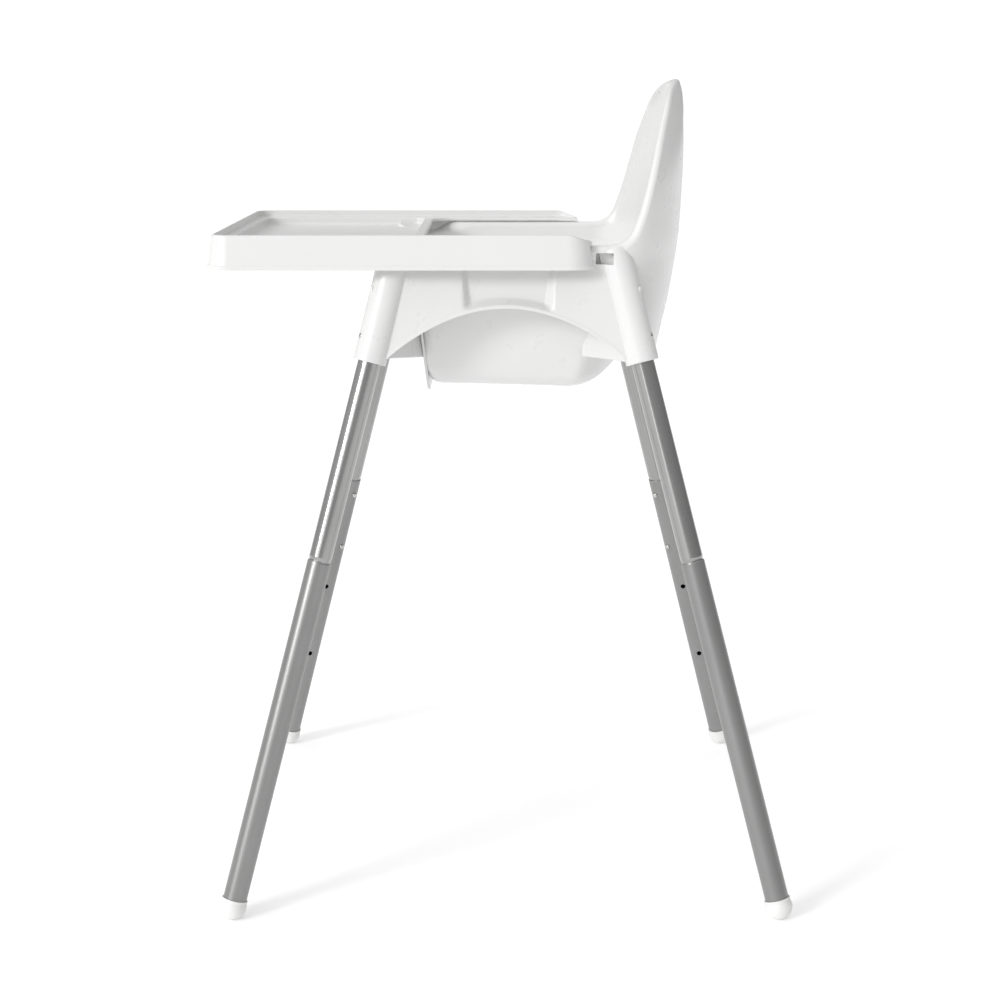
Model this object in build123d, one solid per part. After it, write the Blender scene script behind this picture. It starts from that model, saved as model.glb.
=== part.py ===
from build123d import *
import math
import os

# Baby high chair: a moulded seat shell on four two-piece tube legs, with a lift-off tray.
# Millimetres. +Z is up, +Y is the back of the chair, +X is its left side for the child.
# The origin is on the floor, under the middle of the chair.

# Legs: each leg's axis runs from the ball of its foot up into a socket of the seat.
FOOT_X = 294.0
FOOT_Y = 292.5
FOOT_Z = 14.0
AXIS_SLOPE_X = 0.1613
AXIS_SLOPE_Y = 0.2573
FOOT_RADIUS = 14.6
FOOT_COLLAR_RADIUS = 14.2
FOOT_CAP_HEIGHT = 8.5
FOOT_GRIP_GAP = 0.05
FOOT_TUBE_SEAT = 1.5
LOWER_TUBE_RADIUS = 12.7
LOWER_BORE_RADIUS = 11.7
UPPER_TUBE_RADIUS = 12.2
UPPER_BORE_RADIUS = 11.2
SPIGOT_RADIUS = 11.6
SPIGOT_BORE_RADIUS = 10.6
SPIGOT_LENGTH = 115.0
SWAGE_LENGTH = 4.0
TUBE_JOINT = 382.0
SOCKET_START = 600.0
SOCKET_STOP = 688.0
SOCKET_END = 724.0
SOCKET_RADIUS = 17.75
SOCKET_BORE_RADIUS = 12.3

# Snap buttons: a pair at the tube joint and one in the socket.
BUTTON_RADIUS = 3.0
BUTTON_HOLE_RADIUS = 3.1
BUTTON_REACH = 2.6
BUTTON_BASE_RADIUS = 4.2
JOINT_BUTTONS = (20.0, 94.0)
SPARE_HOLES = (153.0, 253.0)
SOCKET_BUTTON = 25.0
JOINT_BUTTON_TURN = 45.0
SPARE_HOLE_TURN = 10.0
SOCKET_BUTTON_TURN = 25.0
BUTTON_BASE_THICKNESS = 1.2
BUTTON_BASE_GAP = 1.0
BUTTON_DOME = 1.2
TUBE_HOLE_SPAN = (8.0, 15.0)
SOCKET_HOLE_SPAN = (10.0, 24.0)
SOCKET_BUTTON_REACH = 0.8
SPRING_WIDTH = 7.0
SPRING_THICKNESS = 0.6
SPRING_FRONT_GAP = 2.6
SPRING_BEND = 9.0
SPRING_OVERRUN = 8.0
SOCKET_SPRING_TAIL = 14.0

# Seat shell: the bucket, the skirt round it and the backrest, all one moulding.
WALL = 3.0
RIM_TOP = 712.0
FRONT_RIM_TOP = 701.0
RIM_HEIGHT = 5.0
BACKREST_WALL = 5.0
BACKREST_FRONT_CUT = 30.0
PLAN_SIZE = 600.0
CROSSBAR_REAR = -85.0
SKIRT_BOTTOM = 592.0
PAN_BOTTOM = 551.0
BACK_TOP = 883.0
ARCH_TOP = 645.0
ARCH_HALF_SPAN = 121.0
FRONT_ARCH_TOP = 662.0
FRONT_ARCH_HALF_SPAN = 150.0
LEG_HOLE_INNER = 24.0
LEG_HOLE_OUTER = 112.0
LEG_HOLE_BOTTOM = 572.0
LEG_HOLE_TOP = 672.0
LEG_HOLE_CORNER = 22.0
LEG_HOLE_DEPTH = 60.0
LEG_HOLE_START = -130.0
SIDE_SLOT_X = 200.0
SIDE_SLOT_Y = 106.0
SIDE_SLOT_Z = 694.0
SIDE_SLOT_SIZE = (30.0, 14.0, 15.0)
FRONT_STEP_Y = (-175.0, -85.0)
FRONT_STEP_HEIGHT = 17.0
WEB_BOTTOM = 588.0
WEB_TOP = 660.0
WEB_INNER = {-1: (120.0, -84.0), 1: (120.0, 66.0)}

# Tray.
TRAY_HALF_WIDTH = 223.0
TRAY_FRONT = -314.0
TRAY_REAR = 94.5
TRAY_BOTTOM = 687.0
TRAY_TOP = 723.0
TRAY_DRAFT = 5.0
TRAY_WALL = 3.0
TRAY_FRONT_CORNER = 22.0
TRAY_REAR_CORNER = 28.0
TRAY_LIP_DEPTH = 7.5
TRAY_LEDGE = 19.0
TRAY_BASIN_DEPTH = 17.0
TRAY_RIDGE_FRONT = -99.0
TRAY_RIDGE_REAR = -89.0
TRAY_CUTOUT_HALF = 196.0
TRAY_CUTOUT_CORNER = 28.0
TRAY_BASIN_CORNER = 12.0
TRAY_CORNER_LOSS = 12.0
RIM_CLEARANCE_X = 206.0
REAR_NOTCH_LENGTH = 55.0

CORNERS = {
    "front_left": (1, -1),
    "front_right": (-1, -1),
    "rear_left": (1, 1),
    "rear_right": (-1, 1),
}


def leg_direction(side, end):
    """Unit vector up the axis of the leg at this side (x) and end (y)."""
    return Vector(-side * AXIS_SLOPE_X, -end * AXIS_SLOPE_Y, 1).normalized()


def leg_point(side, end, distance):
    """Point on a leg's axis, this far above the centre of its foot's ball."""
    foot = Vector(side * FOOT_X, end * FOOT_Y, FOOT_Z)
    return foot + leg_direction(side, end) * distance


def leg_cylinder(side, end, start, stop, radius):
    """Solid cylinder round a leg's axis, between two distances along it."""
    plane = Plane(origin=leg_point(side, end, start), z_dir=leg_direction(side, end))
    return plane * Cylinder(radius, stop - start, align=(Align.CENTER, Align.CENTER, Align.MIN))


def across(side, end, heading):
    """Unit vector square to a leg's axis, nearest to a heading given in the XY plane."""
    up = leg_direction(side, end)
    flat = Vector(heading[0], heading[1], 0)
    return (flat - up * flat.dot(up)).normalized()


def button_heading(side, end, place):
    """Where a button or hole faces: inwards at the tube joint, outwards at the socket."""
    turn = {"joint": JOINT_BUTTON_TURN, "spare": 90 - SPARE_HOLE_TURN, "socket": SOCKET_BUTTON_TURN}[place]
    outward = 1 if place == "socket" else -1
    angle = math.radians(turn)
    return across(side, end, (outward * side * math.sin(angle), outward * end * math.cos(angle)))


def button_cylinder(side, end, place, distance, start, stop, radius):
    """Solid cylinder across a leg, between two distances from its axis."""
    heading = button_heading(side, end, place)
    origin = leg_point(side, end, distance) + heading * start
    plane = Plane(origin=origin, z_dir=heading)
    return plane * Cylinder(radius, stop - start, align=(Align.CENTER, Align.CENTER, Align.MIN))


def upper_leg(side, end):
    """Tube from the socket down to a swaged spigot, with holes for its three buttons."""
    shoulder = TUBE_JOINT + SWAGE_LENGTH
    tube = leg_cylinder(side, end, shoulder, SOCKET_STOP, UPPER_TUBE_RADIUS)
    cone_plane = Plane(origin=leg_point(side, end, TUBE_JOINT), z_dir=leg_direction(side, end))
    cone = Cone(SPIGOT_RADIUS, UPPER_TUBE_RADIUS, SWAGE_LENGTH, align=(Align.CENTER, Align.CENTER, Align.MIN))
    tube += cone_plane * cone
    tube += leg_cylinder(side, end, TUBE_JOINT - SPIGOT_LENGTH, TUBE_JOINT, SPIGOT_RADIUS)
    tube -= leg_cylinder(side, end, shoulder, SOCKET_STOP, UPPER_BORE_RADIUS)
    tube -= leg_cylinder(side, end, TUBE_JOINT - SPIGOT_LENGTH, shoulder, SPIGOT_BORE_RADIUS)
    for drop in JOINT_BUTTONS:
        tube -= button_cylinder(side, end, "joint", TUBE_JOINT - drop, *TUBE_HOLE_SPAN, BUTTON_HOLE_RADIUS)
    distance = SOCKET_START + SOCKET_BUTTON
    tube -= button_cylinder(side, end, "socket", distance, *TUBE_HOLE_SPAN, BUTTON_HOLE_RADIUS)
    return tube


def lower_leg(side, end):
    """Plain tube that the foot caps, with two button holes and two spare holes."""
    tube = leg_cylinder(side, end, FOOT_TUBE_SEAT, TUBE_JOINT, LOWER_TUBE_RADIUS)
    tube -= leg_cylinder(side, end, FOOT_TUBE_SEAT, TUBE_JOINT, LOWER_BORE_RADIUS)
    for drop in JOINT_BUTTONS:
        tube -= button_cylinder(side, end, "joint", TUBE_JOINT - drop, *TUBE_HOLE_SPAN, BUTTON_HOLE_RADIUS)
    for drop in SPARE_HOLES:
        tube -= button_cylinder(side, end, "spare", TUBE_JOINT - drop, *TUBE_HOLE_SPAN, BUTTON_HOLE_RADIUS)
    return tube


def foot_cap(side, end):
    """Ball-ended cap over the tube, with a small flat where it meets the floor."""
    ball = Pos(side * FOOT_X, end * FOOT_Y, FOOT_Z) * Sphere(FOOT_RADIUS)
    size = FOOT_RADIUS * 2
    cap = ball + leg_cylinder(side, end, 0, FOOT_CAP_HEIGHT, FOOT_COLLAR_RADIUS)
    cap -= leg_cylinder(side, end, FOOT_CAP_HEIGHT, size, size)
    cap -= leg_cylinder(side, end, FOOT_TUBE_SEAT, size, LOWER_TUBE_RADIUS + FOOT_GRIP_GAP)
    below = Pos(side * FOOT_X, end * FOOT_Y, -FOOT_RADIUS) * Box(size * 2, size * 2, size)
    return cap - below


def snap_button(side, end, place, distance, tip):
    """Domed steel button with a wider base, which rests against the inside of the tube."""
    bore = SPIGOT_BORE_RADIUS if place == "joint" else UPPER_BORE_RADIUS
    outer = bore - BUTTON_BASE_GAP
    inner = outer - BUTTON_BASE_THICKNESS
    middle = (inner + outer) / 2
    button = button_cylinder(side, end, place, distance, middle, tip, BUTTON_RADIUS)
    heading = button_heading(side, end, place)
    button = fillet(button.faces().sort_by(Axis((0, 0, 0), heading))[-1].edges(), BUTTON_DOME)
    return button + button_cylinder(side, end, place, distance, inner, outer, BUTTON_BASE_RADIUS)


def leaf_spring(side, end, place, low, high):
    """Hairpin of spring steel inside the tube: one leaf behind the buttons, one on the far wall."""
    heading = button_heading(side, end, place)
    bore = SPIGOT_BORE_RADIUS if place == "joint" else UPPER_BORE_RADIUS
    front = bore - SPRING_FRONT_GAP
    across_leg = heading.cross(leg_direction(side, end))
    plane = Plane(origin=leg_point(side, end, low), x_dir=heading, z_dir=across_leg)
    height = high - low
    bend = (front - SPRING_BEND / 3, -SPRING_BEND)
    path = Polyline((-front, height), (-front, 0), bend, (front, 0), (front, height))
    leaf = make_face(offset(path, SPRING_THICKNESS / 2, side=Side.BOTH))
    return extrude(plane * leaf, SPRING_WIDTH / 2, both=True)


def section(z, half_width, front, corner, middle, rear):
    """Closed outline at one height: square front with rounded corners, elliptical back."""
    with BuildLine(Plane.XY.offset(z)) as line:
        Line((-half_width + corner, front), (half_width - corner, front))
        CenterArc((half_width - corner, front + corner), corner, -90, arc_size=90)
        Line((half_width, front + corner), (half_width, middle))
        EllipticalCenterArc((0, middle), half_width, rear - middle, 0, arc_size=180)
        Line((-half_width, middle), (-half_width, front + corner))
        CenterArc((-half_width + corner, front + corner), corner, 180, arc_size=90)
    return make_face(line.edges())


def stack(outlines):
    """Solid through a pile of outlines, straight from each one to the next."""
    return loft([section(*outline) for outline in outlines], ruled=True)


def thinner(outline, wall):
    """The same outline, moved inwards by a wall's thickness."""
    z, half_width, front, corner, middle, rear = outline
    return (z, half_width - wall, front + wall, max(corner - wall, 4), middle, rear - wall)


BUCKET = [
    (PAN_BOTTOM, 122, -84, 24, 70, 100),
    (PAN_BOTTOM + 14, 134, -87, 24, 74, 116),
    (640, 164, -92, 24, 92, 158),
    (RIM_TOP, 190, -95, 24, 104, 190),
]

SKIRT = [
    (SKIRT_BOTTOM, 209, -156, 30, 138, 171),
    (650, 202, -142, 28, 122, 185),
    (RIM_TOP, 200, -128, 26, 106, 196),
]

BACKREST = [
    (RIM_TOP - 3, 197, 108, 193),
    (735, 199, 138, 197.5),
    (788, 181, 153.6, 199),
    (834, 145, 166, 199),
    (858, 112, 172.4, 198.5),
    (875, 62, 177, 196),
    (BACK_TOP, 20, 182, 193),
]


def backrest_outer(z, half_width, middle, rear):
    """Half-ellipse outline of the backrest at one height."""
    with BuildLine(Plane.XY.offset(z)) as line:
        EllipticalCenterArc((0, middle), half_width, rear - middle, 0, arc_size=180)
        Line((-half_width, middle), (half_width, middle))
    return make_face(line.edges())


def backrest_inner(z, half_width, middle, rear):
    """The same outline, moved inwards by the wall and carried forward past its front."""
    x = half_width - BACKREST_WALL
    front = middle - BACKREST_FRONT_CUT
    with BuildLine(Plane.XY.offset(z)) as line:
        EllipticalCenterArc((0, middle), x, rear - BACKREST_WALL - middle, 0, arc_size=180)
        Polyline((-x, middle), (-x, front), (x, front), (x, middle))
    return make_face(line.edges())


def backrest():
    """Curved wall that rises behind the child, with wings that reach forward."""
    outer = loft([backrest_outer(*row) for row in BACKREST], ruled=True)
    inner = loft([backrest_inner(*row) for row in BACKREST], ruled=True)
    return outer - inner


def arch(half_span, rise_to, depth):
    """Cutter for an arch in the skirt: a slice of a circle that stands below the skirt's foot."""
    rise = rise_to - SKIRT_BOTTOM
    radius = (half_span ** 2 + rise ** 2) / (2 * rise)
    disc = Cylinder(radius, depth, rotation=(90, 0, 0))
    return Pos(0, 0, rise_to - radius) * disc


def leg_hole(side):
    """Cutter for the opening that one of the child's legs passes through."""
    width = LEG_HOLE_OUTER - LEG_HOLE_INNER
    height = LEG_HOLE_TOP - LEG_HOLE_BOTTOM
    outline = RectangleRounded(width, height, LEG_HOLE_CORNER)
    middle = (LEG_HOLE_INNER + LEG_HOLE_OUTER) / 2
    origin = (side * middle, LEG_HOLE_START, (LEG_HOLE_BOTTOM + LEG_HOLE_TOP) / 2)
    return extrude(Plane(origin=origin, z_dir=(0, 1, 0)) * outline, LEG_HOLE_DEPTH)


def web(side, end):
    """Upright plate that ties a socket to the bucket."""
    inner_x, inner_y = WEB_INNER[end]
    socket = leg_point(side, end, SOCKET_START + 10)
    line = Line((side * inner_x, inner_y), (socket.X, socket.Y))
    plate = make_face(offset(line, WALL / 2, side=Side.BOTH))
    return extrude(Pos(0, 0, WEB_BOTTOM) * plate, WEB_TOP - WEB_BOTTOM)


def rim(skirt, inside):
    """Flat band that joins the skirt to the bucket along their top edges, lower across the front."""
    on_top = (Align.CENTER, Align.CENTER, Align.MIN)
    band = Pos(0, 0, RIM_TOP - RIM_HEIGHT) * Box(PLAN_SIZE, PLAN_SIZE, RIM_HEIGHT * 2, align=on_top)
    bar = Box(PLAN_SIZE, PLAN_SIZE, RIM_HEIGHT, align=(Align.CENTER, Align.MAX, Align.MAX))
    bar = Pos(0, CROSSBAR_REAR, FRONT_RIM_TOP) * bar
    return skirt & (band + bar) - inside


def seat_shell():
    """The whole moulding: bucket, skirt, rim, backrest, sockets and their webs."""
    bucket = stack(BUCKET)
    inside = stack([thinner(row, WALL) for row in BUCKET])
    inside = Pos(0, 0, WALL) * inside
    skirt = stack(SKIRT)
    skirt_inside = stack([thinner(row, WALL) for row in SKIRT])
    skirt_wall = skirt - Pos(0, 0, -WALL) * skirt_inside
    bucket_wall = bucket - inside
    side_arch = Rot(0, 0, 90) * arch(ARCH_HALF_SPAN, ARCH_TOP, PLAN_SIZE)
    front_arch = arch(FRONT_ARCH_HALF_SPAN, FRONT_ARCH_TOP, PLAN_SIZE)
    skirt_wall -= side_arch
    skirt_wall -= front_arch
    shell = skirt_wall - bucket
    shell += bucket_wall
    shell += rim(skirt, inside)
    for side, end in CORNERS.values():
        socket = leg_cylinder(side, end, SOCKET_START, SOCKET_END, SOCKET_RADIUS)
        socket += web(side, end)
        socket -= inside
        shell += socket
    shell += backrest()
    shell -= inside
    for side, end in CORNERS.values():
        start = SOCKET_START - SOCKET_RADIUS
        shell -= leg_cylinder(side, end, start, SOCKET_STOP, SOCKET_BORE_RADIUS)
        distance = SOCKET_START + SOCKET_BUTTON
        shell -= button_cylinder(side, end, "socket", distance, *SOCKET_HOLE_SPAN, BUTTON_HOLE_RADIUS)
    shell -= leg_hole(1)
    shell -= leg_hole(-1)
    for side in (1, -1):
        shell -= Pos(side * SIDE_SLOT_X, SIDE_SLOT_Y, SIDE_SLOT_Z) * Box(*SIDE_SLOT_SIZE)
    front, rear = FRONT_STEP_Y
    on_top = (Align.CENTER, Align.CENTER, Align.MIN)
    front_step = Box(PLAN_SIZE, rear - front, FRONT_STEP_HEIGHT, align=on_top)
    return shell - Pos(0, (front + rear) / 2, FRONT_RIM_TOP) * front_step


def tray_outline(z, inset):
    """Outline of the tray at one height, moved inwards."""
    loss = min(inset, TRAY_CORNER_LOSS)
    x = TRAY_HALF_WIDTH - inset
    front = TRAY_FRONT + inset
    rear = TRAY_REAR - inset
    with BuildLine(Plane.XY.offset(z)) as line:
        Polyline((-x, front), (x, front), (x, rear), (-x, rear), (-x, front))
    face = make_face(line.edges())
    face = fillet(face.vertices().sort_by(Axis.Y)[:2], TRAY_FRONT_CORNER - loss)
    return fillet(face.vertices().sort_by(Axis.Y)[-2:], TRAY_REAR_CORNER - loss)


def tray_block(low, high, inset_low, inset_high):
    """Drafted block between two heights of the tray."""
    return loft([tray_outline(low, inset_low), tray_outline(high, inset_high)], ruled=True)


def tray():
    """Shallow basin on a hollow rim, open at the back round the child."""
    lip_floor = TRAY_TOP - TRAY_LIP_DEPTH
    basin_floor = TRAY_TOP - TRAY_BASIN_DEPTH
    lip = TRAY_DRAFT + TRAY_WALL
    edge = lip + TRAY_LEDGE
    basin_front = TRAY_FRONT + edge
    basin_half = TRAY_HALF_WIDTH - edge
    basin_length = TRAY_RIDGE_FRONT - basin_front
    basin_middle = (TRAY_RIDGE_FRONT + basin_front) / 2

    def basin(grow, low, high):
        width = (basin_half + grow) * 2
        outline = RectangleRounded(width, basin_length + grow * 2, TRAY_BASIN_CORNER + grow)
        return extrude(Pos(0, basin_middle, low) * outline, high - low)

    body = tray_block(TRAY_BOTTOM, TRAY_TOP, 0, TRAY_DRAFT)
    body -= tray_block(lip_floor, TRAY_TOP + 1, lip, lip)
    hollow = tray_block(TRAY_BOTTOM - 1, lip_floor - TRAY_WALL, TRAY_WALL, lip)
    hollow -= basin(TRAY_WALL, basin_floor - TRAY_WALL, TRAY_TOP)
    body -= hollow
    body -= basin(0, basin_floor, TRAY_TOP)
    cut_length = 2 * (TRAY_REAR - TRAY_RIDGE_REAR)
    cut = RectangleRounded(TRAY_CUTOUT_HALF * 2, cut_length, TRAY_CUTOUT_CORNER)
    body -= extrude(Pos(0, TRAY_REAR, TRAY_BOTTOM) * cut, TRAY_TOP - TRAY_BOTTOM)
    height = lip_floor - TRAY_WALL - TRAY_BOTTOM
    notch = Box(RIM_CLEARANCE_X * 2, REAR_NOTCH_LENGTH, height, align=(Align.CENTER, Align.MAX, Align.MIN))
    return body - Pos(0, TRAY_REAR, TRAY_BOTTOM) * notch


def main():
    os.makedirs("parts", exist_ok=True)
    export_step(seat_shell(), "parts/seat_shell.step")
    export_step(tray(), "parts/tray.step")
    for name, (side, end) in CORNERS.items():
        export_step(upper_leg(side, end), f"parts/upper_leg_{name}.step")
        export_step(lower_leg(side, end), f"parts/lower_leg_{name}.step")
        export_step(foot_cap(side, end), f"parts/foot_cap_{name}.step")
        high, low = (TUBE_JOINT - drop for drop in JOINT_BUTTONS)
        tip = LOWER_TUBE_RADIUS + BUTTON_REACH
        export_step(snap_button(side, end, "joint", high, tip), f"parts/joint_button_high_{name}.step")
        export_step(snap_button(side, end, "joint", low, tip), f"parts/joint_button_low_{name}.step")
        spring = leaf_spring(side, end, "joint", low - SPRING_OVERRUN, high + SPRING_OVERRUN)
        export_step(spring, f"parts/joint_spring_{name}.step")
        middle = SOCKET_START + SOCKET_BUTTON
        tip = SOCKET_RADIUS + SOCKET_BUTTON_REACH
        export_step(snap_button(side, end, "socket", middle, tip), f"parts/socket_button_{name}.step")
        spring = leaf_spring(side, end, "socket", middle - SOCKET_SPRING_TAIL, middle + SPRING_OVERRUN)
        export_step(spring, f"parts/socket_spring_{name}.step")


main()
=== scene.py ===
import math
import bmesh
import bpy
import numpy as np
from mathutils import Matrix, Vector


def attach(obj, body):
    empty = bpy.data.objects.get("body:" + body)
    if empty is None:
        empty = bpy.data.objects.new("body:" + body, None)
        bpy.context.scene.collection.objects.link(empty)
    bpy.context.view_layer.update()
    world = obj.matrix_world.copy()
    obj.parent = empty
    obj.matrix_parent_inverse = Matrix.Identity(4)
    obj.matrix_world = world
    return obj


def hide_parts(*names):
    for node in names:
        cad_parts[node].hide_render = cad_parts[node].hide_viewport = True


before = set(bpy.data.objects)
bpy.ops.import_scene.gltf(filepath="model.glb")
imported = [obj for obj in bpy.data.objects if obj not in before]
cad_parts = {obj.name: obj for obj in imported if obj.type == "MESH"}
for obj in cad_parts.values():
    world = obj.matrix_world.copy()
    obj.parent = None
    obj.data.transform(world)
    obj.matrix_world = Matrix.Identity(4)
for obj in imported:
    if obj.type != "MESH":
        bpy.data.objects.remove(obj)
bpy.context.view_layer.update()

# Baby high chair: seat shell, tray, tube legs, ball feet, snap buttons and their springs.
# Shapes are worked out in millimetres and scaled to metres when a mesh is made.
MM = 0.001
CORNERS = {
    "front_left": (1, -1),
    "front_right": (-1, -1),
    "rear_left": (1, 1),
    "rear_right": (-1, 1),
}

# Legs, as in the frame: the axis of each runs from the ball of its foot into a socket.
FOOT = (294.0, 292.5, 14.0)
LEAN_X = 0.1613
LEAN_Y = 0.2573
TUBE_JOINT = 382.0
SOCKET_START = 600.0
SOCKET_STOP = 688.0
SOCKET_END = 724.0
SOCKET_RADIUS = 17.75
SOCKET_BORE = 12.3
JOINT_BUTTONS = (20.0, 94.0)
SPARE_HOLES = (153.0, 253.0)
SOCKET_BUTTON = 25.0
UPPER_RADIUS = 12.2
UPPER_BORE = 11.2
SPIGOT_RADIUS = 11.6
SPIGOT_BORE = 10.6
SPIGOT_LENGTH = 115.0
LOWER_RADIUS = 12.7
LOWER_BORE = 11.7
LOWER_START = 1.5
HOLE_RADIUS = 3.1
BUTTON_RADIUS = 3.0
FOOT_RADIUS = 14.55


# ---------------------------------------------------------------- mesh helpers

def smooth_table(rows):
    """Function that runs smoothly through rows of (key, value, value...)."""
    rows = np.array(rows, float)
    keys = rows[:, 0]
    values = rows[:, 1:]
    slopes = (values[1:] - values[:-1]) / (keys[1:] - keys[:-1])[:, None]
    tangents = np.vstack([slopes[:1], (slopes[1:] + slopes[:-1]) / 2, slopes[-1:]])

    def at(key):
        key = min(max(key, keys[0]), keys[-1])
        i = min(int(np.searchsorted(keys, key, side="right")) - 1, len(keys) - 2)
        step = keys[i + 1] - keys[i]
        t = (key - keys[i]) / step
        a = values[i] * (1 + 2 * t) * (1 - t) ** 2 + tangents[i] * step * t * (1 - t) ** 2
        b = values[i + 1] * t * t * (3 - 2 * t) + tangents[i + 1] * step * t * t * (t - 1)
        return a + b
    return at


def ease(t):
    """Smooth step from 0 to 1."""
    t = min(max(t, 0.0), 1.0)
    return t * t * (3 - 2 * t)


def new_object(name, verts, faces):
    """Object in the scene from points in millimetres."""
    mesh = bpy.data.meshes.new(name)
    mesh.from_pydata([tuple(float(c) * MM for c in v) for v in verts], [], faces)
    mesh.validate()
    mesh.update()
    obj = bpy.data.objects.new(name, mesh)
    bpy.context.scene.collection.objects.link(obj)
    return obj


def rows_to_object(name, rows, cap_start=False, cap_end=False, hub=None):
    """Closed rings of equal length, joined in order into one surface."""
    count = len(rows[0])
    verts = [p for row in rows for p in row]
    faces = []
    for r in range(len(rows) - 1):
        for i in range(count):
            j = (i + 1) % count
            faces.append((r * count + i, r * count + j, (r + 1) * count + j, (r + 1) * count + i))
    if cap_start:
        faces.append(tuple(reversed(range(count))))
    if cap_end:
        last = (len(rows) - 1) * count
        faces.append(tuple(last + i for i in range(count)))
    if hub is not None:
        faces += [(len(verts), (i + 1) % count, i) for i in range(count)]
        verts = verts + [hub]
    return new_object(name, verts, faces)


def apply_modifiers(obj):
    """Give the object its evaluated mesh and drop its modifiers."""
    depsgraph = bpy.context.evaluated_depsgraph_get()
    depsgraph.update()
    mesh = bpy.data.meshes.new_from_object(obj.evaluated_get(depsgraph))
    obj.modifiers.clear()
    obj.data = mesh
    return obj


def fix_normals(obj):
    """Make the normals of a closed mesh point outwards."""
    bm = bmesh.new()
    bm.from_mesh(obj.data)
    bmesh.ops.recalc_face_normals(bm, faces=bm.faces)
    if bm.calc_volume(signed=True) < 0:
        bmesh.ops.reverse_faces(bm, faces=bm.faces)
    bm.to_mesh(obj.data)
    bm.free()
    return obj


def combine(obj, tool, operation):
    """Union or difference with another closed mesh, which is used up."""
    modifier = obj.modifiers.new("combine", "BOOLEAN")
    modifier.operation = operation
    modifier.object = tool
    modifier.solver = "MANIFOLD"
    apply_modifiers(obj)
    bpy.data.objects.remove(tool)
    return obj


def shade(obj, angle=32.0):
    """Smooth shading, with a hard edge wherever the surface turns by more than the angle."""
    mesh = obj.data
    mesh.polygons.foreach_set("use_smooth", [True] * len(mesh.polygons))
    mesh.set_sharp_from_angle(angle=math.radians(angle))
    weighted = obj.modifiers.new("weighted", "WEIGHTED_NORMAL")
    weighted.keep_sharp = True
    return apply_modifiers(obj)


def rounded_outline(x0, x1, y0, y1, radii, z, steps=12):
    """Rounded rectangle at one height, anticlockwise from its low-x, low-y corner."""
    corners = [(x0, y0, 180), (x1, y0, 270), (x1, y1, 0), (x0, y1, 90)]
    ring = []
    for (x, y, start), radius in zip(corners, radii):
        cx = x + (radius if x == x0 else -radius)
        cy = y + (radius if y == y0 else -radius)
        for k in range(steps + 1):
            a = math.radians(start + 90 * k / steps)
            ring.append((cx + radius * math.cos(a), cy + radius * math.sin(a), z))
    return ring


# ---------------------------------------------------------------- legs' geometry

def leg_up(side, end):
    """Direction of a leg, from its foot upwards."""
    return Vector((-side * LEAN_X, -end * LEAN_Y, 1)).normalized()


def leg_point(side, end, distance):
    """Point on the axis of a leg, at a distance from the middle of its foot."""
    return Vector((side * FOOT[0], end * FOOT[1], FOOT[2])) + leg_up(side, end) * distance


def across(side, end, heading):
    """Direction square to a leg, nearest to a heading in plan."""
    up = leg_up(side, end)
    flat = Vector((heading[0], heading[1], 0))
    return (flat - up * flat.dot(up)).normalized()


def button_heading(side, end, place):
    """Where a button or hole faces, as in the frame."""
    turn = {"joint": 45.0, "spare": 80.0, "socket": 25.0}[place]
    outward = 1 if place == "socket" else -1
    a = math.radians(turn)
    return across(side, end, (outward * side * math.sin(a), outward * end * math.cos(a)))


def lathe(name, profile, origin, up, segments=72, closed=False):
    """Surface of revolution from (radius, height) points; closed joins last to first."""
    side = up.orthogonal().normalized()
    other = up.cross(side)
    rows = []
    for radius, height in profile:
        centre = origin + up * height
        ring = []
        for k in range(segments):
            a = 2 * math.pi * k / segments
            ring.append(tuple(centre + (side * math.cos(a) + other * math.sin(a)) * radius))
        rows.append(ring)
    if closed:
        rows.append(rows[0])
    count = segments
    verts = [p for row in rows[:len(rows) - (1 if closed else 0)] for p in row]
    total = len(rows) - (1 if closed else 0)
    faces = []
    for r in range(len(rows) - 1):
        s = (r + 1) % total
        for i in range(count):
            j = (i + 1) % count
            faces.append((r * count + i, r * count + j, s * count + j, s * count + i))
    if not closed:
        faces.append(tuple(reversed(range(count))))
        faces.append(tuple((total - 1) * count + i for i in range(count)))
    return fix_normals(new_object(name, verts, faces))


def arc_profile(cx, cy, radius, start, stop, steps=6):
    """Points of an arc in a (radius, height) profile, angles in degrees."""
    angles = [math.radians(start + (stop - start) * k / steps) for k in range(steps + 1)]
    return [(cx + radius * math.cos(a), cy + radius * math.sin(a)) for a in angles]


def pin(name, side, end, place, distance, start, stop, radius, segments=32):
    """Plain closed cylinder across a leg, used to cut holes."""
    heading = button_heading(side, end, place)
    origin = leg_point(side, end, distance)
    return lathe(name, [(radius, start), (radius, stop)], origin, heading, segments)


# ---------------------------------------------------------------- seat shell

# Sections by height: half width, front, front corner radius, middle, rear, roundness.
INNER = smooth_table([
    (554, 125, -83, 7, 72, 116, 2.0),
    (568, 131, -84, 7, 74, 122, 2.0),
    (580, 136.5, -85, 7, 77, 128, 2.0),
    (600, 145, -86, 8, 82, 137, 2.0),
    (640, 160, -89, 12, 92, 156, 2.1),
    (680, 176, -90.5, 22, 101, 174, 2.2),
    (695, 181.5, -91, 22, 105, 179, 2.3),
    (712, 186.5, -92, 22, 110, 184, 2.4),
    (735, 191, -92, 22, 110, 186.6, 2.4),
    (761, 194, -92, 22, 110, 188.6, 2.4),
    (788, 192, -92, 22, 110, 189.6, 2.4),
    (813, 183.6, -92, 22, 110, 190.2, 2.4),
    (834, 170.2, -92, 22, 110, 190, 2.4),
    (858.5, 143.7, -92, 22, 110, 189.3, 2.4),
    (875, 96, -92, 22, 110, 187.8, 2.4),
    (884, 60, -92, 22, 110, 186, 2.4),
])
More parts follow.
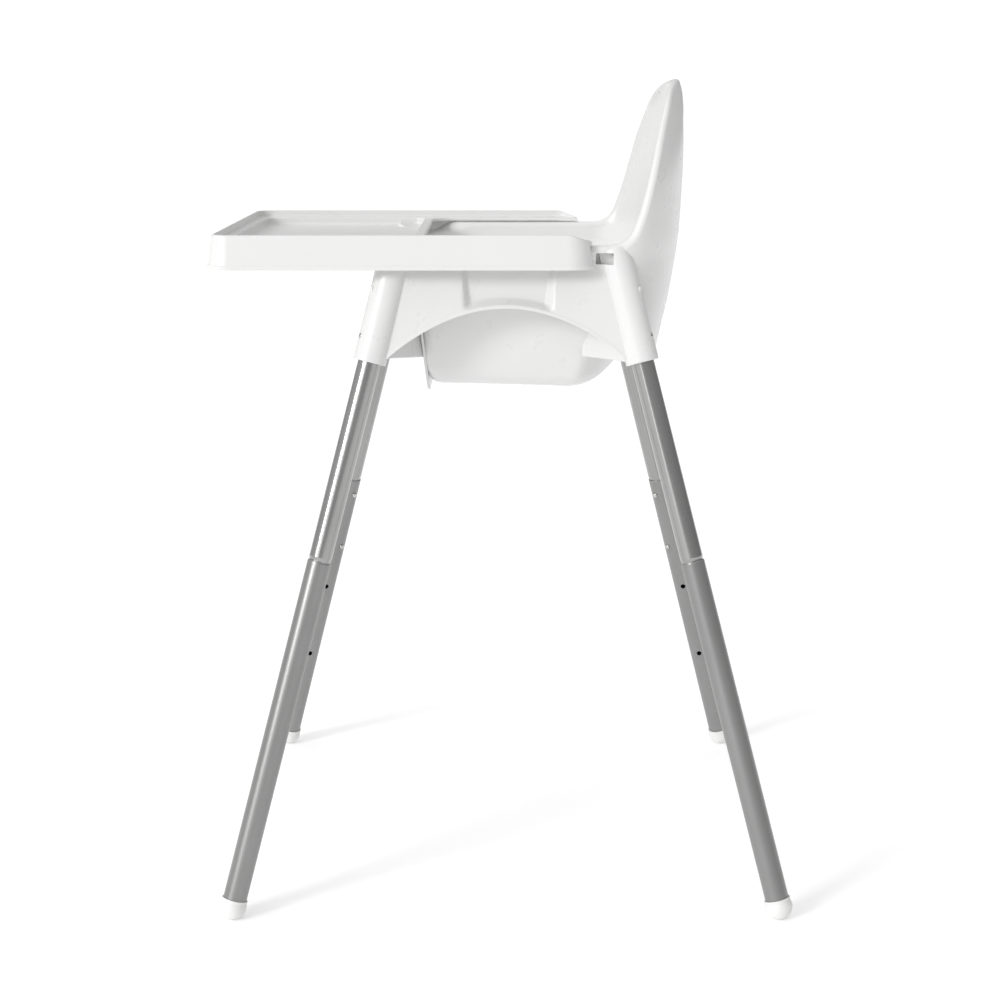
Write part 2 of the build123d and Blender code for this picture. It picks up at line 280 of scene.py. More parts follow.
OUTER = smooth_table([
    (588, 209.5, -156.5, 30, 138, 169, 2.0),
    (610, 206, -151, 29, 133, 175.6, 2.0),
    (644, 201, -143, 28, 124, 184.3, 2.1),
    (679, 196.5, -136, 27, 115, 190.6, 2.2),
    (695, 195.5, -132, 26, 111, 192.8, 2.3),
    (703, 198, -130, 26, 110, 193.6, 2.35),
    (712, 200.5, -128, 26, 110, 194.5, 2.4),
    (735, 203.5, -128, 26, 110, 196.2, 2.4),
    (761, 205, -128, 26, 110, 197.4, 2.4),
    (788, 202, -128, 26, 110, 198.6, 2.4),
    (813, 193.4, -128, 26, 110, 199, 2.4),
    (834, 179.8, -128, 26, 110, 198.9, 2.4),
    (858.5, 153, -128, 26, 110, 198.7, 2.4),
    (875, 106, -128, 26, 110, 197, 2.4),
    (884, 70, -128, 26, 110, 193.5, 2.4),
])
# Outline of the backrest's rim: x, y, z from an arm to the top.
RIM_LINE = [
    (200, 110, 711.0),
    (200, 114, 711.5),
    (199.8, 120.4, 712.9),
    (199.0, 130, 719),
    (196.5, 138, 734),
    (190, 146.7, 761),
    (179.5, 153.6, 788),
    (165, 160, 813.6),
    (145, 165.8, 834),
    (112, 172.4, 858.5),
    (62, 180.5, 876),
    (0, 189, 882.4),
]
ARM_TOP = 711.0
ARM_ROLL = 7.0
FRONT_TOP = 701.0
PAN = (0.0, 8.0, 554.0)
PAN_FALL = 5.0
SKIRT_FOOT = 592.0
# Arches of the skirt: half width of the opening, height of the arc's centre, radius.
SIDE_ARCH = (121.0, 480.4, 164.6)
FRONT_ARCH = (150.0, 466.3, 195.7)
# Set-back middle of a side panel: its two creases, front and rear.
PANEL_FRONT = -47.5
PANEL_REAR = 52.0
PANEL_DEPTH = 4.0
# Openings: low and high edge on each axis, and corner radius.
SIDE_SLOT = (188.5, 215.0, 94.5, 113.0, 691.0, 703.0, 1.2)
LEG_HOLE = (24.0, 112.0, 572.0, 672.0, 22.0)
FRONT_LIP_HALF = 127.0
FRONT_LIP_FOOT = 546.8
FRONT_LIP_TOP = 628.0
FRONT_LIP_CORNER = 9.0
WEB_TOP = 668.0
WEB_THICKNESS = 3.0
SHELL_WALL = 2.8
REAR_COLUMNS = 108
SIDE_COLUMNS = 120
CORNER_COLUMNS = 12
FRONT_COLUMNS = 36
BASE_Z = 692.0


def ring_point(kind, v, z, table):
    """Point of a section: kind is rear, side, corner or front, and v is its place there."""
    half, front, corner, middle, rear, power = table(z)
    if kind == "rear":
        s, c = math.sin(v), math.cos(v)
        r = (abs(s) ** power + abs(c) ** power) ** (-1 / power)
        return np.array((half * s * r, middle + (rear - middle) * c * r, z))
    if kind == "side":
        return np.array((half, middle + (front + corner - middle) * v, z))
    if kind == "corner":
        a = v * math.pi / 2
        return np.array((half - corner + corner * math.cos(a), front + corner - corner * math.sin(a), z))
    return np.array(((1 - v) * (half - corner), front, z))


def rear_angle(point, table):
    """Angle of the section through a point of the backrest."""
    half, _, _, middle, rear, _ = table(point[2])
    return math.atan2(point[0] / half, (point[1] - middle) / (rear - middle))


def middle_table(z):
    return (INNER(z) + OUTER(z)) / 2


def rim_points(count):
    """Centre line of the rolled rim: (section angle, height) of each column, arm to top."""
    line = np.array(RIM_LINE, float)
    mirrored = line[-2] * np.array((-1, 1, 1))
    line = np.vstack([line, mirrored])
    lengths = np.concatenate([[0], np.cumsum(np.linalg.norm(np.diff(line, axis=0), axis=1))])
    path = smooth_table(np.column_stack([lengths, line]))
    total = lengths[-2]
    out = []
    for k in range(count + 1):
        s = total * k / count
        point = path(s)
        ahead = path(s + 0.5)
        behind = path(max(s - 0.5, 0))
        if k == count:
            point[0] = 0.0
        angle = rear_angle(point, middle_table)
        z = point[2]
        inside = ring_point("rear", angle, z, INNER)
        outside = ring_point("rear", angle, z, OUTER)
        radius = np.linalg.norm(outside - inside) / 2
        normal = (outside - inside) / (2 * radius)
        tangent = (ahead - behind) / np.linalg.norm(ahead - behind)
        edge = np.cross(tangent, normal)
        edge *= 1 if edge[2] > 0 else -1
        on_surface = ring_point("rear", angle, z, middle_table)
        centre = on_surface - edge * radius
        angle = max(0.0, rear_angle(centre, middle_table)) if k < count else 0.0
        out.append((min(angle, math.pi / 2), centre[2]))
    return out


def arch_foot(x, y):
    """Height of the skirt's lower edge."""
    foot = SKIRT_FOOT
    half, centre, radius = SIDE_ARCH
    if abs(y) < half and abs(x) > 160:
        foot = max(foot, centre + math.sqrt(radius ** 2 - y * y))
    half, centre, radius = FRONT_ARCH
    if y < -130 and abs(x) < half:
        foot = max(foot, centre + math.sqrt(radius ** 2 - x * x))
    return foot


def recess(y, z, foot):
    """How far the middle of a side panel is set back; the creases widen downwards."""
    low = min(max((694 - z) / 50, 0), 1)
    front = ease((y - PANEL_FRONT - 1.5 * low) / (5.0 + 5.5 * low))
    rear = ease((PANEL_REAR - y) / (5.0 + 7.0 * low))
    depth = PANEL_DEPTH + PANEL_DEPTH * low
    return depth * front * rear * ease((z - foot - 2.5) / 9)


def shell_columns():
    """Kind, place and top of the columns of one half, from the rear middle to the front middle."""
    rims = rim_points(REAR_COLUMNS)[::-1]
    columns = []
    for angle, z in rims:
        columns.append(("rear", angle, z))
    for k in range(1, SIDE_COLUMNS + 1):
        v = k / SIDE_COLUMNS
        z = rims[-1][1] - (ARM_TOP - FRONT_TOP) * ease((v - 0.86) / 0.1)
        columns.append(("side", v, z))
    low = rims[-1][1] - (ARM_TOP - FRONT_TOP)
    for k in range(1, CORNER_COLUMNS + 1):
        columns.append(("corner", k / CORNER_COLUMNS, low))
    for k in range(1, FRONT_COLUMNS + 1):
        columns.append(("front", k / FRONT_COLUMNS, low))
    return columns


def shell_column(kind, place, top, along):
    """Points of one column: pan, bucket wall, rolled rim, outer wall, lower edge."""
    points = []
    centre = np.array(PAN)
    radius = 18.0 + (14.0 * math.cos(place) ** 2 if kind == "rear" else 0.0)
    edge = ring_point(kind, place, PAN[2], INNER)
    edge[:2] = centre[:2] + (edge[:2] - centre[:2]) * (1 - radius / np.linalg.norm(edge[:2] - centre[:2]))
    for k in range(1, 13):
        points.append(centre + (edge - centre) * k / 12)
    for k in range(1, 8):
        a = math.radians(10 * k)
        z = PAN[2] + radius * (1 - math.cos(a))
        p = ring_point(kind, place, z, INNER)
        out = p[:2] - centre[:2]
        p[:2] -= out / np.linalg.norm(out) * radius * (1 - math.sin(a))
        points.append(p)
    for p in points:
        p[2] += PAN_FALL / 2 - PAN_FALL * min(max((p[1] + 84) / 179, 0), 1)
    start = points[-1][2]
    for k in range(1, 27):
        points.append(ring_point(kind, place, start + (BASE_Z - start) * k / 26, INNER))
    rise = 40
    for k in range(1, rise + 1):
        points.append(ring_point(kind, place, BASE_Z + (top - BASE_Z) * (k / rise), INNER))
    inside = points[-1]
    outside = ring_point(kind, place, top, OUTER)
    before = points[-2]
    middle = (inside + outside) / 2
    half = (outside - inside) / 2
    length = np.linalg.norm(half)
    up = inside - before
    up -= half * np.dot(up, half) / length ** 2
    if kind == "rear":
        up = np.cross(along, half)
        up *= 1 if up[2] > 0 else -1
    up *= min(length, ARM_ROLL) / np.linalg.norm(up)
    for k in range(1, 10):
        a = math.pi * k / 10
        points.append(middle - half * math.cos(a) + up * math.sin(a))
    points.append(outside)
    for k in range(1, rise + 1):
        points.append(ring_point(kind, place, BASE_Z + (top - BASE_Z) * (1 - k / rise), OUTER))
    low = ring_point(kind, place, 620, OUTER)
    foot = arch_foot(low[0], low[1])
    heights = [BASE_Z + (foot + 5 - BASE_Z) * k / 36 for k in range(1, 37)]
    heights += [foot + 4.2, foot + 3.6, foot + 1.2, foot + 0.3, foot]
    for z in heights:
        p = ring_point(kind, place, z, OUTER)
        if kind == "side":
            p[0] -= recess(p[1], z, foot)
        if foot > SKIRT_FOOT + 0.5:
            out = np.array((1.0, 0.0)) if kind == "side" else np.array((0.0, -1.0))
            p[:2] += out * 0.4 * ease((foot + 4.6 - z) / 1.0) * (0.55 if z < foot + 0.1 else 1.0)
        points.append(p)
    return points


def seat_shell():
    """The moulding's sheet: pan, bucket wall, rolled rim and skirt, made solid."""
    columns = shell_columns()
    rims = []
    for kind, place, top in columns:
        rims.append(ring_point(kind, place, top, middle_table))
    half = []
    for i, (kind, place, top) in enumerate(columns):
        behind = rims[i - 1] if i else rims[1] * np.array((-1, 1, 1))
        along = rims[min(i + 1, len(rims) - 1)] - behind
        half.append(shell_column(kind, place, top, along))
    mirror = np.array((-1.0, 1.0, 1.0))
    ring = half + [[p * mirror for p in column] for column in reversed(half[1:-1])]
    rows = [list(row) for row in zip(*ring)]
    sheet = rows_to_object("seat_shell_skin", rows, hub=(PAN[0], PAN[1], PAN[2] - 0.1))
    if sheet.data.polygons[-1].normal.z < 0:
        sheet.data.flip_normals()
    solid = sheet.modifiers.new("wall", "SOLIDIFY")
    solid.thickness = SHELL_WALL * MM
    solid.offset = -1
    solid.use_quality_normals = True
    return fix_normals(apply_modifiers(sheet))


def same_at_all_heights(section):
    """Table that gives one section at every height."""
    return lambda height: section


def bucket_space():
    """Closed block that fills the bucket, out to the middle of its wall."""
    grow = SHELL_WALL * 0.5
    rows = []
    for z in (556, 562, 568, 584, 600, 620, 640, 660, 680, 695, 712, 722, 735):
        half, front, corner, middle, rear, power = INNER(z)
        table = same_at_all_heights((half + grow, front - grow, corner, middle, rear + grow, power))
        ring = []
        for k in range(64):
            ring.append(ring_point("rear", math.pi / 2 * k / 64, z, table))
        for k in range(24):
            ring.append(ring_point("side", k / 24, z, table))
        for k in range(10):
            ring.append(ring_point("corner", k / 10, z, table))
        for k in range(9):
            ring.append(ring_point("front", k / 8, z, table))
        mirror = np.array((-1.0, 1.0, 1.0))
        ring += [p * mirror for p in reversed(ring[1:-1])]
        rows.append(ring)
    return fix_normals(rows_to_object("bucket_space", rows, True, True))


def socket(side, end):
    """Round socket with a soft top, before its bore is cut."""
    radius = SOCKET_RADIUS
    soft = 3.5
    profile = [(radius - 0.7, SOCKET_START), (radius, SOCKET_START + 0.7)]
    length = SOCKET_END - soft - SOCKET_START
    profile += [(radius, SOCKET_START + 0.7 + length * k / 8) for k in range(1, 8)]
    profile += arc_profile(radius - soft, SOCKET_END - soft, soft, 0, 80)
    return lathe("socket", profile, leg_point(side, end, 0), leg_up(side, end), 96)


def plate(name, start, stop, low_start, low_stop, top, thickness):
    """Upright plate between two plan points, with a foot at two heights and soft lower edges."""
    a = np.array(start, float)
    b = np.array(stop, float)
    along = (b - a) / np.linalg.norm(b - a)
    over = np.array((-along[1], along[0]))
    soft = thickness * 0.3
    rows = []
    for at, low in ((a, low_start), (b, low_stop)):
        ring = []
        for offset, z in (
            (-0.5, top), (-0.5, low + soft), (-0.2, low), (0.2, low), (0.5, low + soft), (0.5, top),
        ):
            p = at + over * thickness * offset
            ring.append((p[0], p[1], z))
        rows.append(ring)
    return fix_normals(rows_to_object(name, rows, True, True))


def front_lip():
    """Flat flange under the front edge of the pan, with rounded lower corners."""
    half = FRONT_LIP_HALF
    radius = FRONT_LIP_CORNER
    z = FRONT_LIP_FOOT + radius
    outline = []
    for x, start in ((half - radius, 0), (-half + radius, -90)):
        for k in range(9):
            a = math.radians(start - 90 * k / 8)
            outline.append((x + radius * math.cos(a), z + radius * math.sin(a)))
    outline += [(-half - 25, FRONT_LIP_TOP), (half + 25, FRONT_LIP_TOP)]
    rows = []
    for depth, shrink in ((0.0, 0.5), (0.5, 0.0), (2.6, 0.0), (3.1, 0.5)):
        ring = []
        for x, z in outline:
            y = -83.0 - (z - FRONT_LIP_FOOT) * 0.1 - depth
            ring.append((x * (1 - shrink / half), y, z + (shrink if z < 560 else 0)))
        rows.append(ring)
    return fix_normals(rows_to_object("front_lip", rows, True, True))


def leg_hole_cutter(side):
    """Rounded block that cuts an opening for the child's leg."""
    x0, x1, z0, z1, radius = LEG_HOLE
    rows = []
    for y in (-110, -96, -84):
        ring = rounded_outline(x0, x1, z0, z1, [radius] * 4, 0)
        rows.append([(side * x, y, z) for x, z, _ in ring])
    return fix_normals(rows_to_object("leg_hole", rows, True, True))


def box_cutter(x0, x1, y0, y1, z0, z1, radius):
    """Upright-sided block with rounded corners seen along x."""
    ring = rounded_outline(y0, y1, z0, z1, [radius] * 4, 0, 6)
    rows = [[(x, y, z) for y, z, _ in ring] for x in (x0, x1)]
    return fix_normals(rows_to_object("slot", rows, True, True))


def finished_shell():
    """Seat shell with its sockets, webs, lip, holes and slots."""
    shell = seat_shell()
    extras = None
    space = bucket_space()
    for side, end in CORNERS.values():
        post = socket(side, end)
        foot = leg_point(side, end, SOCKET_START + 12)
        start, feet = ((146, 84), (587.5, 586.5)) if end > 0 else ((130, -88), (584.5, 591))
        start = (side * start[0], start[1])
        web = plate("web", start, (foot.x, foot.y), *feet, WEB_TOP, WEB_THICKNESS)
        combine(post, web, "UNION")
        extras = post if extras is None else combine(extras, post, "UNION")
    combine(extras, space, "DIFFERENCE")
    combine(shell, extras, "UNION")
    combine(shell, front_lip(), "UNION")
    for side in (1, -1):
        combine(shell, leg_hole_cutter(side), "DIFFERENCE")
        x0, x1 = sorted((side * SIDE_SLOT[0], side * SIDE_SLOT[1]))
        combine(shell, box_cutter(x0, x1, *SIDE_SLOT[2:]), "DIFFERENCE")
    for side, end in CORNERS.values():
        origin = leg_point(side, end, 0)
        up = leg_up(side, end)
        bore = [(SOCKET_BORE + 0.5, SOCKET_START - 12), (SOCKET_BORE + 0.5, SOCKET_START)]
        bore += [(SOCKET_BORE, SOCKET_START + 0.6), (SOCKET_BORE, SOCKET_STOP)]
        combine(shell, lathe("bore", bore, origin, up, 96), "DIFFERENCE")
        hole = pin("hole", side, end, "socket", SOCKET_START + SOCKET_BUTTON, 10, 24, HOLE_RADIUS)
        combine(shell, hole, "DIFFERENCE")
    shell.name = "seat_shell_visual"
    return shade(shell, 30)


# ---------------------------------------------------------------- tray

TRAY_HALF = 223.0
TRAY_FRONT = -314.0
TRAY_REAR = 94.5
TRAY_BOTTOM = 687.0
TRAY_TOP = 723.0
LEDGE_Z = 715.3
BASIN_Z = 706.0
DRAFT = 5.0
LEDGE_INNER = 27.5
LEDGE_FRONT = 20.0
PLATE = 3.4
BASIN_REAR = -99.5
CUT_HALF = 189.0
CUT_FRONT = -88.5
CUT_CORNER = 28.0


def tray_ring(inset, z, steps=14):
    """Outline of the tray, moved inwards."""
    front = max(24 - inset * 0.8, 6)
    rear = max(29 - inset * 0.8, 6)
    return rounded_outline(
        -TRAY_HALF + inset, TRAY_HALF - inset, TRAY_FRONT + inset, TRAY_REAR - inset,
        (front, front, rear, rear), z, steps)


def flared_cutter(x0, x1, y0, y1, radii, low, high, floor_radius, edge_radius, above):
    """Cutter that leaves a soft upper edge, and a soft inner corner at its floor."""
    rows = []

    def ring(grow, z):
        rows.append(rounded_outline(
            x0 - grow, x1 + grow, y0 - grow, y1 + grow, [r + grow for r in radii], z, 14))

    if floor_radius:
        for k in range(7):
            a = math.radians(90 * k / 6)
            ring(-floor_radius * (1 - math.sin(a)), low + floor_radius * (1 - math.cos(a)))
    else:
        ring(0, low)
    for k in range(7):
        a = math.radians(90 * k / 6)
        ring(edge_radius * (1 - math.cos(a)), high - edge_radius + edge_radius * math.sin(a))
    ring(edge_radius, above)
    return fix_normals(rows_to_object("cutter", rows, True, True))


def tray():
    """Lift-off tray: a drafted wall, a raised lip, a ledge, a basin and a cut-out for the body."""
    rows = [tray_ring(3.0, TRAY_BOTTOM + 0.6), tray_ring(1.2, TRAY_BOTTOM + 0.05)]
    rows += [tray_ring(0.5, TRAY_BOTTOM), tray_ring(0.05, TRAY_BOTTOM + 0.6)]
    rows += [tray_ring(0.0, TRAY_BOTTOM + 1.4), tray_ring(0.1, TRAY_BOTTOM + 3.4)]
    rows += [tray_ring(0.9, TRAY_BOTTOM + 4.4), tray_ring(1.3, TRAY_BOTTOM + 5.6)]
    for k in range(1, 9):
        z = TRAY_BOTTOM + 5.6 + (TRAY_TOP - 2.2 - TRAY_BOTTOM - 5.6) * k / 8
        rows.append(tray_ring(1.3 + (DRAFT - 1.3) * k / 8, z))
    for k in range(1, 7):
        a = math.radians(90 * k / 6)
        rows.append(tray_ring(DRAFT + 2.2 * (1 - math.cos(a)), TRAY_TOP - 2.2 + 2.2 * math.sin(a)))
    rows.append(tray_ring(DRAFT + 2.5, TRAY_TOP))
    for k in range(1, 5):
        a = math.radians(90 * k / 4)
        rows.append(tray_ring(DRAFT + 2.5 + 1.1 * math.sin(a), TRAY_TOP - 1.2 * (1 - math.cos(a))))
    rows.append(tray_ring(DRAFT + 3.8, LEDGE_Z + 2.2))
    for k in range(1, 6):
        a = math.radians(90 * k / 5)
        rows.append(tray_ring(DRAFT + 3.8 + 2.2 * (1 - math.cos(a)), LEDGE_Z + 2.2 - 2.2 * math.sin(a)))
    body = fix_normals(rows_to_object("tray_visual", rows, True, True))
    under = [tray_ring(3.0, TRAY_BOTTOM - 3), tray_ring(3.0, TRAY_BOTTOM + 1)]
    under += [tray_ring(8.0, LEDGE_Z - 5.4), tray_ring(9.5, LEDGE_Z - PLATE)]
    hollow = fix_normals(rows_to_object("hollow", under, True, True))
    x = TRAY_HALF - LEDGE_INNER
    front = TRAY_FRONT + LEDGE_FRONT
    keep = flared_cutter(
        -x - 3, x + 3, front - 3, BASIN_REAR + 3.5, (17, 17, 17, 17), BASIN_Z - 3, LEDGE_Z, 3, 0.1, 720)
    combine(hollow, keep, "DIFFERENCE")
    combine(body, hollow, "DIFFERENCE")
    basin = flared_cutter(-x, x, front, BASIN_REAR, (14, 14, 12, 12), BASIN_Z, LEDGE_Z, 4.0, 1.6, 730)
    combine(body, basin, "DIFFERENCE")
    cut = flared_cutter(-CUT_HALF, CUT_HALF, CUT_FRONT, 300, [CUT_CORNER] * 4, 680, LEDGE_Z, 0, 1.8, 730)
    combine(body, cut, "DIFFERENCE")
    notch = box_cutter(-206, 206, 82, 100, 680, LEDGE_Z - PLATE, 0.5)
    combine(body, notch, "DIFFERENCE")
    for vertex in body.data.vertices:
        z = vertex.co.z / MM
        y = vertex.co.y / MM
        drop = ease((y - 64) / 30)
        if z > LEDGE_Z:
            vertex.co.z = (LEDGE_Z + (z - LEDGE_Z) * (1 - 0.85 * drop)) * MM
        vertex.co.z -= 1.4 * drop * ease((z - 700) / 10) * MM
    return shade(body, 30)


# ---------------------------------------------------------------- legs

def upper_leg(name, side, end):
    """Polished tube with a rolled shoulder, a spigot, and its button holes."""
    origin = leg_point(side, end, 0)
    up = leg_up(side, end)
    joint = TUBE_JOINT
    tip = joint - SPIGOT_LENGTH
    length = SOCKET_STOP - 0.5 - joint - 5
    profile = [(UPPER_BORE, joint + 5), (SPIGOT_BORE, joint), (SPIGOT_BORE, tip)]
    profile += [(SPIGOT_BORE + 0.5, tip - 0.4), (SPIGOT_RADIUS, tip + 0.4)]
    profile += [(SPIGOT_RADIUS, joint + 0.2), (SPIGOT_RADIUS + 0.05, joint + 0.8)]
    profile += [(SPIGOT_RADIUS + 0.6 * ease(k / 6), joint + 0.8 + 4.2 * k / 6) for k in range(1, 7)]
    profile += [(UPPER_RADIUS, joint + 5 + length * k / 12) for k in range(1, 13)]
    profile += [(UPPER_RADIUS - 0.3, SOCKET_STOP), (UPPER_BORE, SOCKET_STOP)]
    tube = lathe(name, profile, origin, up, 80, closed=True)
    for drop in JOINT_BUTTONS:
        combine(tube, pin("hole", side, end, "joint", joint - drop, 8, 15, HOLE_RADIUS), "DIFFERENCE")
    hole = pin("hole", side, end, "socket", SOCKET_START + SOCKET_BUTTON, 8, 15, HOLE_RADIUS)
    combine(tube, hole, "DIFFERENCE")
    return shade(tube)


def lower_leg(name, side, end):
    """Satin tube with a rolled upper end, two button holes and two spare holes."""
    origin = leg_point(side, end, 0)
    up = leg_up(side, end)
    top = TUBE_JOINT
    length = top - 2.4 - LOWER_START
    profile = [(LOWER_BORE, LOWER_START), (LOWER_RADIUS, LOWER_START)]
    profile += [(LOWER_RADIUS, LOWER_START + length * k / 12) for k in range(1, 13)]
    profile += [(LOWER_RADIUS - 0.06, top - 1.2), (LOWER_RADIUS - 0.2, top - 0.5)]
    profile += [(12.2, top), (LOWER_BORE + 0.2, top - 0.3), (LOWER_BORE, top - 1.0)]
    tube = lathe(name, profile, origin, up, 80, closed=True)
    for drop in JOINT_BUTTONS:
        combine(tube, pin("hole", side, end, "joint", top - drop, 8, 15, HOLE_RADIUS), "DIFFERENCE")
    for drop in SPARE_HOLES:
        combine(tube, pin("hole", side, end, "spare", top - drop, 8, 15, HOLE_RADIUS), "DIFFERENCE")
    return shade(tube)


def foot_cap(name, side, end):
    """Ball foot with a collar over the tube and a worn flat underneath."""
    origin = leg_point(side, end, 0)
    up = leg_up(side, end)
    radius = FOOT_RADIUS
    profile = []
    for k in range(1, 25):
        a = math.radians(-90 + 112 * k / 24)
        profile.append((radius * math.cos(a), radius * math.sin(a)))
    profile += [(13.95, 6.1), (14.1, 6.5), (14.15, 8.0), (13.9, 8.5), (13.0, 8.5)]
    profile += [(12.76, 8.2), (12.76, LOWER_START)]
    ball = lathe(name, profile, origin, up, 96)
    square = ((-30, -30), (30, -30), (30, 30), (-30, 30))
    ground = [[(origin.x + x, origin.y + y, z) for x, y in square] for z in (-40.0, 0.12)]
    combine(ball, fix_normals(rows_to_object("ground", ground, True, True)), "DIFFERENCE")
    return shade(ball, 40)


def snap_button(name, side, end, place, distance, tip):
    """Domed button with a flange that rests against the inside of the tube."""
    outer = (SPIGOT_BORE if place == "joint" else UPPER_BORE) - 1.0
    heading = button_heading(side, end, place)
    origin = leg_point(side, end, distance)
    profile = [(4.2, outer - 1.0), (4.2, outer - 0.2), (4.0, outer)]
    profile += [(BUTTON_RADIUS + 0.15, outer), (BUTTON_RADIUS, outer + 0.2)]
    profile += [(BUTTON_RADIUS, outer + (tip - 1.6 - outer) * k / 3) for k in range(1, 4)]
    for k in range(1, 10):
        a = math.radians(86 * k / 9)
        profile.append((BUTTON_RADIUS * math.cos(a), tip - 1.6 + 1.6 * math.sin(a)))
    button = lathe(name, [(3.9, outer - 1.2)] + profile, origin, heading, 48)
    return shade(button, 35)


LEAF_SECTION = (
    (-3.5, -0.2), (-3.3, -0.3), (3.3, -0.3), (3.5, -0.2), (3.5, 0.2), (3.3, 0.3), (-3.3, 0.3), (-3.5, 0.2),
)


def leaf_spring(name, side, end, place, low, high):
    """Hairpin strip with a rounded bend, inside the tube behind the buttons."""
    heading = button_heading(side, end, place)
    up = leg_up(side, end)
    wide = heading.cross(up)
    bore = SPIGOT_BORE if place == "joint" else UPPER_BORE
    front = bore - 2.6
    origin = leg_point(side, end, low)
    height = high - low
    path = [(-front, height - height * k / 10) for k in range(11)]
    bend = [math.radians(a) for a in range(195, 360, 15)]
    path += [(front * math.cos(a), front * math.sin(a)) for a in bend]
    path += [(front, height * k / 10) for k in range(11)]
    rows = []
    for i, (x, z) in enumerate(path):
        before = path[max(i - 1, 0)]
        after = path[min(i + 1, len(path) - 1)]
        tangent = Vector((after[0] - before[0], after[1] - before[1])).normalized()
        normal = Vector((tangent.y, -tangent.x))
        ring = []
        for w, t in LEAF_SECTION:
            p = origin + heading * (x + normal.x * t) + up * (z + normal.y * t) + wide * w
            ring.append(tuple(p))
        rows.append(ring)
    return shade(fix_normals(rows_to_object(name, rows, True, True)), 40)


# ---------------------------------------------------------------- materials

def tint(nodes, links, principled, low, high, scale, detail):
    """Colour that varies a little over the surface."""
    place = nodes.new("ShaderNodeTexCoord")
    noise = nodes.new("ShaderNodeTexNoise")
    noise.inputs["Scale"].default_value = scale
    noise.inputs["Detail"].default_value = detail
    ramp = nodes.new("ShaderNodeValToRGB")
    ramp.color_ramp.elements[0].position = 0.3
    ramp.color_ramp.elements[1].position = 0.7
    ramp.color_ramp.elements[0].color = (*low, 1)
    ramp.color_ramp.elements[1].color = (*high, 1)
    links.new(place.outputs["Object"], noise.inputs["Vector"])
    links.new(noise.outputs["Fac"], ramp.inputs["Fac"])
    links.new(ramp.outputs["Color"], principled.inputs["Base Color"])
    return place


def finish(name, low, high, rough, metallic=0.0, bump=0.05, grain=900.0, coat=0.0, specular=0.5):
    """Moulded, painted or plated surface: mottled colour, uneven gloss and a fine grain."""
    material = bpy.data.materials.new(name)
    material.use_nodes = True
    nodes = material.node_tree.nodes
    links = material.node_tree.links
    principled = nodes["Principled BSDF"]
    place = tint(nodes, links, principled, low, high, 9.0, 3.0)
    principled.inputs["Metallic"].default_value = metallic
    principled.inputs["Specular IOR Level"].default_value = specular
    principled.inputs["Coat Weight"].default_value = coat
    principled.inputs["Coat Roughness"].default_value = 0.12
    gloss = nodes.new("ShaderNodeTexNoise")
    gloss.inputs["Scale"].default_value = 38.0
    gloss.inputs["Detail"].default_value = 4.0
    span = nodes.new("ShaderNodeMapRange")
    span.inputs["To Min"].default_value = rough[0]
    span.inputs["To Max"].default_value = rough[1]
    links.new(place.outputs["Object"], gloss.inputs["Vector"])
    links.new(gloss.outputs["Fac"], span.inputs["Value"])
    links.new(span.outputs["Result"], principled.inputs["Roughness"])
    fine = nodes.new("ShaderNodeTexNoise")
    fine.inputs["Scale"].default_value = grain
    fine.inputs["Detail"].default_value = 5.0
    relief = nodes.new("ShaderNodeBump")
    relief.inputs["Strength"].default_value = bump
    relief.inputs["Distance"].default_value = 0.0002
    links.new(place.outputs["Object"], fine.inputs["Vector"])
    links.new(fine.outputs["Fac"], relief.inputs["Height"])
    links.new(relief.outputs["Normal"], principled.inputs["Normal"])
    return material


MATERIALS = {
    "seat_plastic": finish(
        "seat_plastic", (0.702, 0.702, 0.697), (0.710, 0.710, 0.705), (0.26, 0.30), bump=0.005),
    "tray_plastic": finish(
        "tray_plastic", (0.702, 0.702, 0.697), (0.710, 0.710, 0.705), (0.28, 0.32), bump=0.015),
    "upper_tube": finish(
        "upper_tube", (0.33, 0.33, 0.327), (0.36, 0.36, 0.357), (0.18, 0.25), 0.85, bump=0.04,
        grain=1400.0, coat=0.5),
    "lower_tube": finish(
        "lower_tube", (0.265, 0.265, 0.263), (0.292, 0.292, 0.29), (0.30, 0.38), 0.65, bump=0.08,
        grain=1600.0),
    "foot_plastic": finish(
        "foot_plastic", (0.73, 0.73, 0.722), (0.77, 0.77, 0.762), (0.34, 0.48), bump=0.08),
    "steel_button": finish(
        "steel_button", (0.50, 0.50, 0.49), (0.62, 0.62, 0.60), (0.14, 0.26), metallic=1.0),
    "spring_steel": finish(
        "spring_steel", (0.30, 0.31, 0.33), (0.42, 0.42, 0.43), (0.30, 0.42), metallic=1.0, bump=0.1,
        grain=500.0),
}


def dress(piece, slot, body, *replaced):
    """Give a piece its finish, its body and the nodes that it stands for."""
    piece.data.materials.clear()
    piece.data.materials.append(MATERIALS[slot])
    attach(piece, body)
    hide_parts(*replaced)


